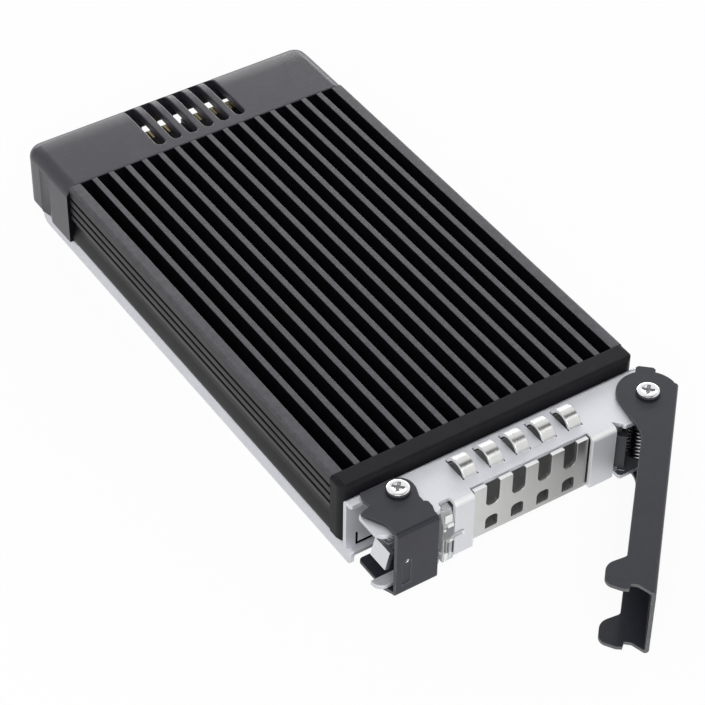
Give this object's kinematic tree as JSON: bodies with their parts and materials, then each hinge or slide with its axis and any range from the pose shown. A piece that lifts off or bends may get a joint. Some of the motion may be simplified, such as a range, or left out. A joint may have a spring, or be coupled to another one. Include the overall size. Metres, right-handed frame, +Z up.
{
  "type": "hot-swap drive tray",
  "caption": "Slide-in steel drive tray with a swinging ejector lever and a sprung catch, carrying a finned solid-state drive with a vented plastic connector cap.",
  "frame": {"origin": "middle of the drive's width and length, at the level of the runners' lower edges", "axes": "+X to the lever's side, +Y to the connector end that goes into the bay first, +Z up"},
  "size_m": [0.0737, 0.1794, 0.0182],
  "materials": {
    "fin_metal": "grey anodised, matte",
    "cap_plastic": "fine grain",
    "cover_metal": "plain sheet",
    "board": "solder mask",
    "socket_plastic": "moulded",
    "chip": "moulded",
    "pad": "soft",
    "standoff": "turned",
    "screw_steel": "bright zinc",
    "contact": "gold plated",
    "tray_steel": "bright zinc",
    "clear_plastic": "clear",
    "post_steel": "turned",
    "spring_wire": "drawn wire",
    "lever_paint": "satin charcoal",
    "bolt_steel": "plain"
  },
  "bodies": {
    "tray": {"heatsink": "fin_metal", "rear_cap": "cap_plastic", "front_cap": "cap_plastic", "bottom_cover": "cover_metal", "circuit_board": "board", "module_socket": "socket_plastic", "ssd_module": "board", "memory_chips": "chip", "controller_chip": "chip", "thermal_pad": "pad", "module_standoff": "standoff", "module_screw": "screw_steel", "rear_connector": "socket_plastic", "connector_contacts": "contact", "tray_base": "tray_steel", "front_bracket": "tray_steel", "drive_screws": "screw_steel", "light_pipe": "clear_plastic", "lever_post": "post_steel", "latch_post": "post_steel", "lever_screw": "screw_steel", "latch_screw": "screw_steel", "lever_spring": "spring_wire", "latch_spring": "spring_wire"},
    "lever": {"lever_arm": "lever_paint"},
    "latch": {"latch_plate": "lever_paint", "lock_bolt": "bolt_steel"}
  },
  "joints": [
    {"name": "lever_swing", "type": "hinge", "parent": "tray", "child": "lever", "pos_m": [0.0312, -0.0726, 0], "axis": [0, 0, 1], "range_deg": [-47.4, 42.6], "stiffness_Nm_per_rad": 0.02, "deforming": ["lever_spring"]},
    {"name": "latch_swing", "type": "hinge", "parent": "tray", "child": "latch", "pos_m": [-0.0255, -0.0684, 0], "axis": [0, 0, 1], "range_deg": [-8, 0], "stiffness_Nm_per_rad": 0.01, "springref_deg": 2.86, "deforming": ["latch_spring"]}
  ]
}
